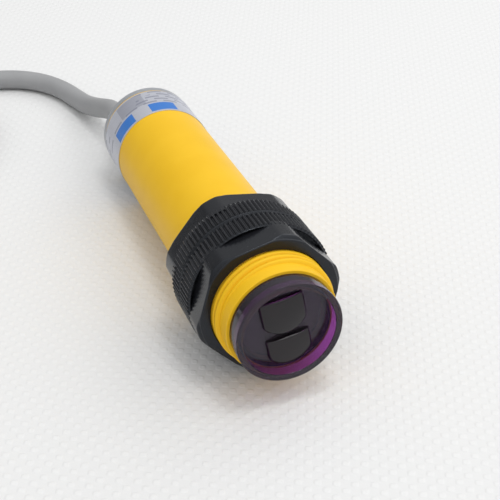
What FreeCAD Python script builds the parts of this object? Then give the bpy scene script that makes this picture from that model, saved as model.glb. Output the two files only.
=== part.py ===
"""Cylindrical photoelectric sensor with two flanged nuts and its cable.

Millimetres. The sensor is drawn about its own axis: Z runs from the front rim of the lens cap (0) to the
rear end, Y is up and X points to the sensor's left-hand side seen from the rear. Every piece is then laid
down in the part's frame, where the front looks along -Y, +Z is up and the sensor rests on the flange of
its rear nut and on the end of its label.
"""

import FreeCAD, Part
import math
import os

import Sketcher
from FreeCAD import Placement, Rotation, Vector

SIZES = [
    # lens cap
    ("cap_step", 1.05),
    ("cap_length", 2.9),
    ("cap_rim", 1.0),
    ("recess_depth", 1.9),
    ("window_thickness", 1.5),
    ("skirt_length", 2.2),
    ("skirt_wall", 0.9),
    ("lens_radius", 3.8),
    ("lens_spacing", 6.0),
    ("lens_width", 6.6),
    ("lens_edge", 0.8),
    ("lens_crown", 0.65),
    # housing
    ("collar_step", 0.6),
    ("collar_length", 1.6),
    ("thread_radius", 9.0),
    ("thread_bare_front", 3.0),
    ("thread_bare_rear", 2.5),
    ("thread_pitch", 1.0),
    ("thread_lead", 0.4),
    ("barrel_step", 0.4),
    ("barrel_length", 67.0),
    ("bore_radius", 7.2),
    ("fit_gap", 0.05),
    # nuts
    ("nut_length", 7.7),
    ("nut_gap", 0.1),
    ("flange_rise", 1.03),
    ("flange_length", 3.9),
    ("flange_chamfer", 0.25),
    ("hex_wall", 1.27),
    ("hex_corner_rise", 0.93),
    ("cut_margin", 2.0),
    ("hex_face_rise", 0.03),
    ("mouth_chamfer", 0.45),
    ("nut_play", 0.05),
    ("knurl_count", 96),
    ("knurl_depth", 0.36),
    ("knurl_width", 0.5),
    ("front_nut_turn", 43.9),
    ("rear_nut_turn", 39.0),
    # optics holder and diodes
    ("holder_gap", 0.1),
    ("holder_play", 0.1),
    ("holder_wall", 0.8),
    ("holder_skirt", 3.4),
    ("diode_radius", 2.5),
    ("diode_length", 8.6),
    ("diode_rim_radius", 2.85),
    ("diode_rim_length", 1.0),
    ("diode_setback", 2.0),
    ("pocket_play", 0.05),
    ("lead_width", 0.5),
    ("lead_lap", 4.4),
    # circuit board and what stands on it
    ("board_thickness", 1.2),
    ("board_edge_gap", 0.45),
    ("board_setback", 1.0),
    ("slot_play", 0.05),
    ("chip_start", 13.4),
    ("chip_length", 8.65),
    ("chip_width", 3.9),
    ("chip_height", 1.5),
    ("chip_standoff", 0.12),
    ("leg_pitch", 1.27),
    ("leg_count", 7),
    ("leg_width", 0.42),
    ("leg_thickness", 0.2),
    ("leg_reach", 1.05),
    ("leg_foot", 0.55),
    ("regulator_start", 24.5),
    ("regulator_length", 4.5),
    ("regulator_width", 2.5),
    ("regulator_height", 1.5),
    ("transistor_start", 6.3),
    ("transistor_length", 2.9),
    ("transistor_width", 1.3),
    ("transistor_height", 1.0),
    ("can_radius", 2.5),
    ("can_length", 7.0),
    ("can_from_end", 15.0),
    ("can_lead_drop", 1.2),
    ("pin_width", 0.5),
    ("pin_end", 0.25),
    ("small_part_length", 2.0),
    ("small_part_width", 1.25),
    ("small_part_height", 0.6),
    ("resistor_start", 8.0),
    ("resistor_row_gap", 11.0),
    ("resistor_spacing", 2.6),
    ("ceramic_offset", 4.5),
    ("trimmer_lap", 3.6),
    ("trimmer_length", 6.6),
    ("trimmer_width", 5.6),
    ("trimmer_thickness", 4.3),
    ("trimmer_offset", 0.5),
    ("screw_radius", 0.95),
    ("screw_depth", 1.8),
    ("screw_height", 1.6),
    ("screw_play", 0.05),
    ("screw_slot", 0.4),
    ("screw_slot_depth", 0.5),
    ("indicator_height", 4.3),
    ("indicator_radius", 1.5),
    ("indicator_rim_radius", 1.85),
    ("indicator_rim_length", 1.0),
    ("indicator_length", 5.3),
    ("indicator_gap", 0.6),
    # rear cap and cable outlet
    ("end_plate", 1.6),
    ("end_edge", 0.3),
    ("spigot_length", 6.5),
    ("spigot_wall", 0.85),
    ("board_bite", 1.2),
    ("screw_hole_radius", 1.5),
    ("indicator_play", 0.1),
    ("cable_offset", 3.4),
    ("outlet_radius", 2.6),
    ("relief_play", 0.05),
    ("relief_collar_radius", 3.3),
    ("relief_collar_length", 1.0),
    ("relief_length", 8.0),
    ("relief_tip_radius", 2.45),
    ("relief_rib_depth", 0.25),
    ("relief_groove", 0.6),
    ("relief_step", 0.35),
    ("barb_length", 1.2),
    # label
    ("label_length", 9.3),
    ("label_end_gap", 0.5),
    ("label_gap", 0.02),
    ("label_thickness", 0.1),
    ("label_wrap", 354.0),
    ("label_turn", 200.0),
    # cable
    ("cable_radius", 2.0),
    ("cable_inner_length", 5.0),
    ("core_radius", 0.55),
    ("core_ring", 0.95),
    ("core_straight", 2.2),
    ("core_landing", 8.4),
    ("core_end", 12.0),
    ("pad_spacing", 3.3),
    ("exit_straight", 4.5),
    ("coil_radius", 20.0),
    ("coil_height", 8.2),
    # connector
    ("pin_pitch", 2.54),
    ("plug_length", 14.0),
    ("cavity_width", 1.6),
    ("contact_width", 1.4),
    ("contact_wall", 0.2),
    ("contact_setback", 0.6),
    ("contact_back", 2.4),
    ("crimp_length", 2.4),
    ("lead_straight", 6.0),
    ("lead_leave", 5.0),
    # how the sensor lies
    ("sensor_roll", 9.0),
]

# The cable's route, chosen by hand, in the part's frame. It starts at the tip of the strain relief.
JACKET_ROUTE = [
    (-4.3, 48.6, 6.0),
    (-5.2, 53.2, 4.2),
    (-6.2, 58.2, 2.7),
    (-7.3, 63.2, 2.1),
    (-9.0, 68.2, 2.1),
    (-12.0, 72.9, 2.1),
    (-16.3, 76.4, 2.1),
    (-21.6, 78.3, 2.1),
    (-27.7, 78.9, 2.1),
    (-34.4, 78.95, 2.1),
    (-41.8, 78.9, 2.1),
    (-49.6, 78.8, 2.1),
]
TAIL_ROUTE = [
    (-71.6, 56.8, 6.2),
    (-71.7, 51.3, 5.3),
    (-71.3, 45.5, 3.6),
    (-70.3, 39.7, 2.4),
    (-68.9, 33.9, 2.1),
    (-67.8, 28.2, 2.1),
    (-67.2, 22.5, 2.1),
    (-67.0, 16.9, 2.1),
    (-67.4, 11.2, 2.1),
]
CORES = ("brown", "black", "blue")
INNER_CORE_TURN = 90
LEAD_TURN = 210
RELIEF_RIBS = 4
COIL_CENTRE = (-49.6, 56.8)
PLUG_BACK = (-69.4, -14.0)
PLUG_TURN = 8.0


# ---- the document and its sizes -------------------------------------------------------------------------


class Size:
    """A size as a number and as the expression that binds it to the sheet."""

    def __init__(self, number, text=None):
        self.number = float(number)
        self.text = text if text is not None else f"{self.number:.6f}"

    def __float__(self):
        return self.number

    def __add__(self, other):
        other = sized(other)
        return Size(self.number + other.number, f"({self.text} + {other.text})")

    def __radd__(self, other):
        return sized(other) + self

    def __sub__(self, other):
        other = sized(other)
        return Size(self.number - other.number, f"({self.text} - {other.text})")

    def __rsub__(self, other):
        return sized(other) - self

    def __mul__(self, other):
        other = sized(other)
        return Size(self.number * other.number, f"({self.text} * {other.text})")

    def __rmul__(self, other):
        return sized(other) * self

    def __truediv__(self, other):
        other = sized(other)
        return Size(self.number / other.number, f"({self.text} / {other.text})")

    def __neg__(self):
        return 0 - self


def sized(value):
    return value if isinstance(value, Size) else Size(value)


doc = FreeCAD.newDocument("PhotoelectricSensor")
sheet = doc.addObject("Spreadsheet::Sheet", "Sizes")


class Sizes:
    """The sheet's sizes by name."""


size = Sizes()
for row, (alias, number) in enumerate(SIZES, start=1):
    sheet.set(f"A{row}", alias)
    sheet.set(f"B{row}", str(number))
    sheet.setAlias(f"B{row}", alias)
    setattr(size, alias, Size(number, f"Sizes.{alias}"))
doc.recompute()

PIECES = []


def piece(obj, label):
    """Names an object as a piece of the sensor."""
    obj.Label = label
    PIECES.append(obj)
    return obj


def bind(obj, **sizes):
    for prop, value in sizes.items():
        obj.setExpression(prop, sized(value).text)
    return obj


# ---- sketches and features ------------------------------------------------------------------------------


def new_body(name):
    return doc.addObject("PartDesign::Body", name)


def new_sketch(body, role, lift=None):
    """A sketch on one of the body's own planes, lifted along the plane's normal."""
    sketch = body.newObject("Sketcher::SketchObject", "Sketch")
    plane = next(f for f in body.Origin.OriginFeatures if f.Role == role)
    sketch.AttachmentSupport = [(plane, "")]
    sketch.MapMode = "FlatFace"
    if lift is not None:
        sketch.AttachmentOffset = Placement(Vector(0, 0, float(lift)), Rotation())
        sketch.setExpression("AttachmentOffset.Base.z", sized(lift).text)
    return sketch


def hold(sketch, geometry, end, x, y):
    """Holds one point of a sketch at x, y."""
    for kind, axis, value in (("DistanceX", -2, x), ("DistanceY", -1, y)):
        value = sized(value)
        if value.number == 0:
            sketch.addConstraint(Sketcher.Constraint("PointOnObject", geometry, end, axis))
            continue
        number = sketch.addConstraint(Sketcher.Constraint(kind, -1, 1, geometry, end, value.number))
        name = f"{kind}{number}"
        sketch.renameConstraint(number, name)
        sketch.setExpression(f"Constraints.{name}", value.text)


def draw_outline(sketch, points):
    """A closed outline of straight edges, every corner held at its own sizes."""
    first = sketch.GeometryCount
    spots = [Vector(float(x), float(y), 0) for x, y in points]
    for start, stop in zip(spots, spots[1:] + spots[:1]):
        sketch.addGeometry(Part.LineSegment(start, stop))
    count = len(points)
    for i, (x, y) in enumerate(points):
        sketch.addConstraint(Sketcher.Constraint("Coincident", first + (i - 1) % count, 2, first + i, 1))
        hold(sketch, first + i, 1, x, y)
    return sketch


def draw_circle(sketch, x, y, radius):
    circle = sketch.addGeometry(Part.Circle(Vector(float(x), float(y), 0), Vector(0, 0, 1), float(radius)))
    hold(sketch, circle, 3, x, y)
    number = sketch.addConstraint(Sketcher.Constraint("Radius", circle, float(radius)))
    name = f"Radius{number}"
    sketch.renameConstraint(number, name)
    sketch.setExpression(f"Constraints.{name}", sized(radius).text)
    return sketch


def revolve(body, points, angle=360.0):
    """Turns an outline, given as radius and height, about the body's Z axis."""
    sketch = draw_outline(new_sketch(body, "XZ_Plane"), points)
    turned = body.newObject("PartDesign::Revolution", "Turned")
    turned.Profile = sketch
    turned.ReferenceAxis = (sketch, ["V_Axis"])
    turned.Angle = float(angle)
    turned.setExpression("Angle", sized(angle).text)
    doc.recompute()
    return turned


def pad(body, sketch, length, back=False):
    feature = body.newObject("PartDesign::Pad", "Pad")
    feature.Profile = sketch
    feature.Reversed = back
    bind(feature, Length=length)
    doc.recompute()
    return feature


def pocket(body, sketch, depth, back=False):
    """Cuts a sketch into the body, and checks that it cut something."""
    before = body.Shape.Volume
    feature = body.newObject("PartDesign::Pocket", "Pocket")
    feature.Profile = sketch
    feature.Reversed = back
    bind(feature, Length=depth)
    doc.recompute()
    if not body.Shape.Volume < before - 1e-6:
        raise RuntimeError(f"{body.Label}: {sketch.Label} cuts nothing")
    return feature


def round_edges(body, radius, wanted):
    """Fillets the edges of the body's tip that wanted() picks."""
    tip = body.Tip
    names = [f"Edge{i}" for i, edge in enumerate(tip.Shape.Edges, start=1) if wanted(edge)]
    fillet = body.newObject("PartDesign::Fillet", "Fillet")
    fillet.Base = (tip, names)
    bind(fillet, Radius=radius)
    doc.recompute()
    return fillet


def block(x, y, z):
    """A box between the low and high x, y and z."""
    box = doc.addObject("Part::Box", "Block")
    bind(box, Length=x[1] - x[0], Width=y[1] - y[0], Height=z[1] - z[0])
    for axis, low in zip("xyz", (x[0], y[0], z[0])):
        box.setExpression(f"Placement.Base.{axis}", sized(low).text)
    return box


def rod(x, y, z, radius):
    """A cylinder along the sensor's axis between the low and high z."""
    cylinder = doc.addObject("Part::Cylinder", "Rod")
    bind(cylinder, Radius=radius, Height=z[1] - z[0])
    for axis, low in zip("xyz", (x, y, z[0])):
        cylinder.setExpression(f"Placement.Base.{axis}", sized(low).text)
    return cylinder


def ball(x, y, z, radius):
    sphere = doc.addObject("Part::Sphere", "Ball")
    bind(sphere, Radius=radius)
    for axis, low in zip("xyz", (x, y, z)):
        sphere.setExpression(f"Placement.Base.{axis}", sized(low).text)
    return sphere


def fuse(shapes):
    joined = doc.addObject("Part::MultiFuse", "Fuse")
    joined.Shapes = shapes
    joined.Refine = True
    return joined


def common(shapes):
    shared = doc.addObject("Part::MultiCommon", "Common")
    shared.Shapes = shapes
    return shared


def cut(base, tool):
    result = doc.addObject("Part::Cut", "Cut")
    result.Base = base
    result.Tool = tool
    return result


def group(shapes):
    together = doc.addObject("Part::Compound", "Group")
    together.Links = shapes
    return together


# ---- places along the axis, worked out from the sizes ---------------------------------------------------

cap_radius = size.thread_radius - size.cap_step
collar_radius = size.thread_radius - size.collar_step
barrel_radius = size.thread_radius - size.barrel_step
barrel_end = size.cap_length + size.barrel_length
total_length = barrel_end + size.end_plate
thread_start = size.cap_length + size.collar_length
nut_start = thread_start + size.thread_bare_front
thread_depth = 0.6495 * size.thread_pitch
pitch_radius = size.thread_radius - thread_depth / 2
nut_bore = pitch_radius + size.nut_play
flat_radius = size.thread_radius + size.hex_wall
flange_radius = flat_radius + size.flange_rise
seam = nut_start + size.nut_length
nuts_end = seam + size.nut_gap + size.nut_length
thread_end = nuts_end + size.thread_bare_rear
cap_bevel = size.cap_rim * 0.15
window_back = size.recess_depth + size.window_thickness
skirt_end = size.cap_length + size.skirt_length
skirt_radius = size.bore_radius - size.fit_gap
diode_height = size.lens_spacing / 2
holder_start = skirt_end + size.holder_gap
diode_tip = holder_start + size.diode_setback
diode_back = diode_tip + size.diode_length
diode_seat = diode_back - size.diode_rim_length
holder_radius = size.bore_radius - size.holder_play
holder_end = diode_seat + size.holder_skirt
half_board = size.board_thickness / 2
board_start = diode_back + size.board_setback
board_edge = size.bore_radius - size.board_edge_gap
spigot_start = barrel_end - size.spigot_length
board_end = spigot_start + size.board_bite
trimmer_start = board_end - size.trimmer_lap
can_start = board_end - size.can_from_end
spigot_bore = skirt_radius - size.spigot_wall
outlet_tip = total_length + size.relief_length


# ---- lens cap -------------------------------------------------------------------------------------------


def make_lens_cap():
    """A cup with a raised rim, a skirt that enters the housing, and two lens domes with straight sides."""
    recess = cap_radius - size.cap_rim
    body = new_body("CapCup")
    revolve(
        body,
        [
            (0, size.recess_depth),
            (recess, size.recess_depth),
            (recess, cap_bevel),
            (recess + cap_bevel, 0),
            (cap_radius - cap_bevel, 0),
            (cap_radius, cap_bevel),
            (cap_radius, size.cap_length),
            (skirt_radius, size.cap_length),
            (skirt_radius, skirt_end),
            (skirt_radius - size.skirt_wall, skirt_end),
            (skirt_radius - size.skirt_wall, window_back),
            (0, window_back),
        ],
    )
    dome_radius = (size.lens_radius * size.lens_radius + size.lens_crown * size.lens_crown) / (
        2 * size.lens_crown
    )
    top = size.recess_depth - size.lens_edge - size.lens_crown
    inside = size.recess_depth + size.window_thickness / 2
    domes = []
    for y in (diode_height, -diode_height):
        dome = common(
            [
                ball(0, y, top + dome_radius, dome_radius),
                rod(0, y, (top - 1, inside), size.lens_radius),
                block(
                    (-size.lens_width / 2, size.lens_width / 2),
                    (y - size.lens_radius, y + size.lens_radius),
                    (top - 1, inside),
                ),
            ]
        )
        domes.append(dome)
    return piece(fuse([body] + domes), "lens_cap")


# ---- housing and label ----------------------------------------------------------------------------------


def make_housing():
    """The threaded tube. Bare thread is drawn at its crests, and the stretch inside the nuts at the pitch
    line, where nut and housing meet."""
    body = new_body("Housing")
    revolve(
        body,
        [
            (size.bore_radius, size.cap_length),
            (collar_radius, size.cap_length),
            (collar_radius, thread_start),
            (size.thread_radius - size.thread_lead, thread_start),
            (size.thread_radius, thread_start + size.thread_lead),
            (size.thread_radius, nut_start),
            (pitch_radius, nut_start),
            (pitch_radius, nuts_end),
            (size.thread_radius, nuts_end),
            (size.thread_radius, thread_end - size.thread_lead),
            (barrel_radius, thread_end),
            (barrel_radius, barrel_end),
            (size.bore_radius, barrel_end),
        ],
    )
    return piece(body, "housing_barrel")


def make_label():
    """A printed sheet wrapped almost round the barrel's end."""
    inner = barrel_radius + size.label_gap
    outer = inner + size.label_thickness
    high = barrel_end - size.label_end_gap
    low = high - size.label_length
    body = new_body("Label")
    revolve(body, [(inner, low), (outer, low), (outer, high), (inner, high)], size.label_wrap)
    body.Placement.Rotation = Rotation(Vector(0, 0, 1), float(size.label_turn))
    return piece(group([body]), "label_sleeve")


# ---- nuts -----------------------------------------------------------------------------------------------


def make_nut():
    """A hex nut with a knurled flange. Its Z axis points from the flange's face to the hexagon's."""
    body = new_body("Nut")
    bevel = size.flange_chamfer
    corner_radius = flat_radius + size.hex_corner_rise
    face_radius = flat_radius + size.hex_face_rise
    corner_drop = (corner_radius - face_radius) * tidy(math.tan(math.radians(30)))
    mouth = nut_bore + size.mouth_chamfer
    revolve(
        body,
        [
            (mouth, 0),
            (flange_radius - bevel, 0),
            (flange_radius, bevel),
            (flange_radius, size.flange_length - bevel),
            (flange_radius - bevel, size.flange_length),
            (corner_radius - bevel, size.flange_length),
            (corner_radius, size.flange_length + bevel),
            (corner_radius, size.nut_length - corner_drop),
            (face_radius, size.nut_length),
            (mouth, size.nut_length),
            (nut_bore, size.nut_length - size.mouth_chamfer),
            (nut_bore, size.mouth_chamfer),
        ],
    )
    flats = new_sketch(body, "XY_Plane", size.nut_length)
    draw_circle(flats, 0, 0, flange_radius + size.cut_margin)
    corner = flat_radius / math.cos(math.radians(30))
    angles = [math.radians(30 + 60 * k) for k in range(6)]
    draw_outline(flats, [(corner * tidy(math.cos(a)), corner * tidy(math.sin(a))) for a in angles])
    pocket(body, flats, size.nut_length - size.flange_length)
    notch = new_sketch(body, "XY_Plane")
    root = flange_radius - size.knurl_depth
    mouth_radius = flange_radius + size.knurl_depth
    draw_outline(notch, [(root, 0), (mouth_radius, size.knurl_width), (mouth_radius, -size.knurl_width)])
    groove = pocket(body, notch, size.flange_length, back=True)
    knurl = body.newObject("PartDesign::PolarPattern", "Knurl")
    knurl.Originals = [groove]
    knurl.Axis = (notch, ["N_Axis"])
    knurl.Angle = 360
    bind(knurl, Occurrences=size.knurl_count)
    body.Tip = knurl
    doc.recompute()
    return body


def tidy(value):
    """Rounds the sine or cosine of a whole angle, so that zero is exactly zero."""
    return round(value, 9)


# ---- optics ---------------------------------------------------------------------------------------------


def make_holder():
    """Carrier with one pocket per diode, the light wall between them, and a slotted skirt for the board."""
    body = new_body("Holder")
    inner = holder_radius - size.holder_wall
    revolve(
        body,
        [
            (0, holder_start),
            (holder_radius, holder_start),
            (holder_radius, holder_end),
            (inner, holder_end),
            (inner, diode_seat),
            (0, diode_seat),
        ],
    )
    pockets = new_sketch(body, "XY_Plane", diode_seat)
    for y in (diode_height, -diode_height):
        draw_circle(pockets, 0, y, size.diode_radius + size.pocket_play)
    pocket(body, pockets, diode_seat - holder_start)
    cut_board_slot(body, board_start - size.slot_play, holder_end)
    return piece(body, "optics_holder")


def cut_board_slot(body, low, high):
    """A slot across the whole body that takes the board's edge."""
    half = half_board + size.slot_play
    reach = barrel_radius
    slot = new_sketch(body, "XY_Plane", high)
    draw_outline(slot, [(-half, -reach), (half, -reach), (half, reach), (-half, reach)])
    pocket(body, slot, high - low)


def make_diode(label, y, radius, rim_radius, rim_length, tip, back, direction):
    """A round diode along the axis with two leads that straddle the board. Direction is 1 where the tip
    faces the front and -1 where it faces the rear."""
    dome = tip + direction * radius
    seat = back - direction * rim_length
    lead_end = back + direction * size.lead_lap
    spans = [sorted(pair, key=float) for pair in ((dome, seat), (seat, back), (back, lead_end))]
    leads = [
        block(
            sorted((side * half_board, side * (half_board + size.lead_width)), key=float),
            (y - size.lead_width / 2, y + size.lead_width / 2),
            spans[2],
        )
        for side in (1, -1)
    ]
    parts = [
        ball(0, y, dome, radius),
        rod(0, y, spans[0], radius),
        rod(0, y, spans[1], rim_radius),
    ]
    return piece(fuse(parts + leads), label)


def make_optics():
    for label, y in (("emitter_led", diode_height), ("receiver_diode", -diode_height)):
        make_diode(
            label,
            y,
            size.diode_radius,
            size.diode_rim_radius,
            size.diode_rim_length,
            diode_tip,
            diode_back,
            1,
        )


# ---- circuit board --------------------------------------------------------------------------------------


def make_board():
    """The board stands on edge along the axis, with holes for the trimmer's pins."""
    body = new_body("Board")
    face = new_sketch(body, "YZ_Plane", -half_board)
    corners = [(-board_edge, board_start), (board_edge, board_start), (board_edge, board_end)]
    draw_outline(face, corners + [(-board_edge, board_end)])
    for y, z in trimmer_pins() + can_pins():
        draw_circle(face, y, z, size.pin_width * tidy(math.sqrt(0.5)) + size.fit_gap)
    pad(body, face, size.board_thickness)
    return piece(body, "main_board")


def trimmer_pins():
    middle = trimmer_start + size.pin_pitch / 2
    return [(side * size.pin_pitch / 2 - size.trimmer_offset, middle) for side in (-1, 1)]


def can_pins():
    return [(side * size.pin_pitch / 2, can_start - size.can_lead_drop) for side in (-1, 1)]


def make_chip():
    """A flat chip with a row of bent legs along each side."""
    body = new_body("Chip")
    low = half_board + size.chip_standoff
    high = low + size.chip_height
    side = size.chip_width / 2
    start = board_start + size.chip_start
    case = new_sketch(body, "XY_Plane", start)
    draw_outline(case, [(low, -side), (high, -side), (high, side), (low, side)])
    pad(body, case, size.chip_length)
    shoulder = low + size.chip_height / 2
    out = side + size.leg_reach - size.leg_foot
    toe = side + size.leg_reach
    thick = size.leg_thickness
    spare = (size.chip_length - (size.leg_count - 1) * size.leg_pitch) / 2
    leg = new_sketch(body, "XY_Plane", start + spare - size.leg_width / 2)
    draw_outline(
        leg,
        [
            (shoulder, side - thick),
            (shoulder, out),
            (half_board, out),
            (half_board, toe),
            (half_board + thick, toe),
            (half_board + thick, out + thick),
            (shoulder + thick, out + thick),
            (shoulder + thick, side - thick),
        ],
    )
    one_leg = pad(body, leg, size.leg_width)
    row = body.newObject("PartDesign::LinearPattern", "LegRow")
    row.Direction = (leg, ["N_Axis"])
    row.Mode = "Spacing"
    bind(row, Offset=size.leg_pitch, Occurrences=size.leg_count)
    mirror = body.newObject("PartDesign::Mirrored", "OtherSide")
    mirror.MirrorPlane = (next(f for f in body.Origin.OriginFeatures if f.Role == "XZ_Plane"), [""])
    legs = body.newObject("PartDesign::MultiTransform", "Legs")
    legs.Originals = [one_leg]
    legs.Transformations = [row, mirror]
    body.Tip = legs
    doc.recompute()
    return piece(body, "controller_chip")


def make_small_package(label, start, length, width, height, y, side):
    """A small moulded package with two legs on one edge and a tab on the other."""
    low = side * (half_board + size.chip_standoff)
    high = side * (half_board + size.chip_standoff + height)
    foot = side * half_board
    shoulder = side * (half_board + size.chip_standoff + height / 2)
    thick = size.leg_thickness
    half = width / 2
    case = block(sorted((low, high), key=float), (y - half, y + half), (start, start + length))
    parts = [case]
    reach = size.leg_reach / 2
    for z in (start + size.leg_width, start + length - 2 * size.leg_width):
        parts.append(
            block(
                sorted((foot, shoulder), key=float),
                (y + half, y + half + reach),
                (z, z + size.leg_width),
            )
        )
    middle = start + length / 2
    parts.append(
        block(
            sorted((foot, side * (half_board + thick)), key=float),
            (y - half - reach, y - half + reach),
            (middle - 2 * size.leg_width, middle + 2 * size.leg_width),
        )
    )
    return piece(fuse(parts), label)


def make_can():
    """The filter capacitor lies along the board, its two leads bent down through it."""
    x = -(half_board + size.can_radius + size.fit_gap)
    parts = [rod(x, 0, (can_start, can_start + size.can_length), size.can_radius)]
    half = size.pin_width / 2
    end = half_board + size.pin_end
    for y, z in can_pins():
        parts.append(block((x - half, x + half), (y - half, y + half), (z - half, can_start)))
        parts.append(block((x, end), (y - half, y + half), (z - half, z + half)))
    return piece(fuse(parts), "filter_capacitor")


def make_small_parts(label, places):
    """Chip resistors or capacitors, one solid each, flat on the board."""
    solids = []
    for side, y, z in places:
        faces = (side * half_board, side * (half_board + size.small_part_height))
        solids.append(
            block(
                sorted(faces, key=float),
                (y - size.small_part_width / 2, y + size.small_part_width / 2),
                (board_start + z, board_start + z + size.small_part_length),
            )
        )
    return piece(group(solids), label)


def make_resistors():
    """Two rows of four on the board's far side."""
    rows = (size.resistor_start, size.resistor_start + size.resistor_row_gap)
    across = [size.resistor_spacing * (n - 1.5) for n in range(4)]
    return make_small_parts("resistors", [(-1, y, z) for z in rows for y in across])


def make_ceramics():
    """One pair beside the regulator and one pair behind the chip."""
    pairs = (
        (1, size.regulator_start + (size.regulator_length - size.small_part_length) / 2),
        (-1, size.chip_start + (size.chip_length - size.small_part_length) / 2),
    )
    places = [(side, y, z) for side, z in pairs for y in (-size.ceramic_offset, size.ceramic_offset)]
    return make_small_parts("ceramic_capacitors", places)


def make_trimmer():
    """Multi-turn trimmer on the board's far side, its screw facing the rear."""
    near = -half_board
    far = -(half_board + size.trimmer_thickness)
    middle = -size.trimmer_offset
    half = size.trimmer_width / 2
    end = trimmer_start + size.trimmer_length
    case = block((far, near), (middle - half, middle + half), (trimmer_start, end))
    screw_x = (far + near) / 2
    floor = end - size.screw_depth - size.screw_play
    well = rod(screw_x, middle, (floor, end + 1), size.screw_radius + size.screw_play)
    pin = size.pin_width / 2
    pins = [
        block((near - pin, half_board + size.pin_end), (y - pin, y + pin), (z - pin, z + pin))
        for y, z in trimmer_pins()
    ]
    piece(fuse([cut(case, well)] + pins), "trimmer_body")
    top = end + size.screw_height
    stem = rod(screw_x, middle, (end - size.screw_depth, top), size.screw_radius)
    slot = block(
        (screw_x - size.screw_slot / 2, screw_x + size.screw_slot / 2),
        (middle - size.screw_radius - 1, middle + size.screw_radius + 1),
        (top - size.screw_slot_depth, top + 1),
    )
    piece(cut(stem, slot), "trimmer_screw")
    return screw_x, middle


def make_indicator():
    back = board_end + size.indicator_gap
    make_diode(
        "indicator_led",
        size.indicator_height,
        size.indicator_radius,
        size.indicator_rim_radius,
        size.indicator_rim_length,
        back + size.indicator_length,
        back,
        -1,
    )


# ---- rear cap and strain relief -------------------------------------------------------------------------


def make_rear_cap(screw_x, screw_y):
    """End cap with a spigot in the bore and holes for the cable, the screw and the indicator."""
    body = new_body("RearCap")
    revolve(
        body,
        [
            (0, barrel_end),
            (spigot_bore, barrel_end),
            (spigot_bore, spigot_start),
            (skirt_radius, spigot_start),
            (skirt_radius, barrel_end),
            (barrel_radius, barrel_end),
            (barrel_radius, total_length),
            (0, total_length),
        ],
    )
    holes = new_sketch(body, "XY_Plane", total_length)
    draw_circle(holes, size.cable_offset, 0, size.outlet_radius)
    draw_circle(holes, screw_x, screw_y, size.screw_hole_radius)
    draw_circle(holes, 0, size.indicator_height, size.indicator_radius + size.indicator_play)
    pocket(body, holes, size.end_plate)
    half = half_board + size.slot_play
    slot = new_sketch(body, "XY_Plane", spigot_start)
    reach = barrel_radius
    draw_outline(slot, [(-half, -reach), (half, -reach), (half, reach), (-half, reach)])
    pocket(body, slot, size.board_bite + size.slot_play, back=True)
    edge = size.end_edge
    rear = float(total_length)
    radius = float(barrel_radius)
    round_edges(
        body,
        edge,
        lambda e: isinstance(e.Curve, Part.Circle)
        and abs(e.Curve.Radius - radius) < 1e-6
        and abs(e.Curve.Center.z - rear) < 1e-6,
    )
    return piece(body, "rear_cap")


def make_strain_relief():
    """Rubber sleeve through the rear cap: a barb inside, a collar against the cap and a ribbed taper."""
    body = new_body("Relief")
    bore = size.cable_radius + size.fit_gap
    neck = size.outlet_radius - size.relief_play
    barb = spigot_bore - size.cable_offset - size.fit_gap
    collar_end = total_length + size.relief_collar_length
    outline = [
        (bore, barrel_end - size.barb_length),
        (neck, barrel_end - size.barb_length),
        (barb, barrel_end - size.fit_gap),
        (neck, barrel_end - size.fit_gap),
        (neck, total_length),
        (size.relief_collar_radius, total_length),
        (size.relief_collar_radius, collar_end),
    ]
    thick = size.relief_collar_radius - size.relief_step
    rib_length = (size.relief_length - size.relief_collar_length) / RELIEF_RIBS
    taper = (thick - size.relief_tip_radius) / RELIEF_RIBS
    for rib in range(RELIEF_RIBS):
        start = collar_end + rib * rib_length
        crest = thick - rib * taper
        root = crest - size.relief_rib_depth
        outline += [(root, start), (root, start + size.relief_groove), (crest, start + size.relief_groove)]
        if rib < RELIEF_RIBS - 1:
            outline.append((crest - taper, start + rib_length))
    outline += [(size.relief_tip_radius, outlet_tip), (bore, outlet_tip)]
    revolve(body, outline)
    body.setExpression("Placement.Base.x", size.cable_offset.text)
    return piece(group([body]), "strain_relief")


# ---- cable, cores and connector -------------------------------------------------------------------------


def route_wire(points, share=0.45):
    """Straight runs joined by tangent arcs, and the arcs' radii."""
    spots = [Vector(*p) for p in points]
    edges, radii = [], []
    start = spots[0]
    for before, corner, after in zip(spots, spots[1:], spots[2:]):
        along = (corner - before).normalize()
        onward = (after - corner).normalize()
        turn = along.getAngle(onward)
        reach = share * min(before.distanceToPoint(corner), corner.distanceToPoint(after))
        radius = reach / math.tan(turn / 2)
        radii.append(radius)
        enter = corner - along * reach
        leave = corner + onward * reach
        inward = (onward - along).normalize()
        middle = corner + inward * (radius / math.cos(turn / 2) - radius)
        edges.append(Part.LineSegment(start, enter).toShape())
        edges.append(Part.Arc(enter, middle, leave).toShape())
        start = leave
    edges.append(Part.LineSegment(start, spots[-1]).toShape())
    return Part.Wire(edges), radii


def tube(points, radius, what):
    """A round solid along a route, with its volume compared with its section times its length."""
    wire, radii = route_wire(points)
    first = Vector(*points[1]) - Vector(*points[0])
    section = Part.Wire(Part.Circle(Vector(*points[0]), first, float(radius)).toShape())
    solid = wire.makePipeShell([section], True, True)
    expected = math.pi * float(radius) ** 2 * wire.Length
    if abs(solid.Volume / expected - 1) > 0.01:
        raise RuntimeError(f"{what}: volume {solid.Volume:.1f}, expected {expected:.1f}")
    print(f"{what}: length {wire.Length:.1f}, radii {' '.join(f'{r:.1f}' for r in radii)}")
    return solid


def shape_piece(label, shape):
    feature = doc.addObject("Part::Feature", label)
    feature.Shape = shape
    PIECES.append(feature)
    return feature


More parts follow.
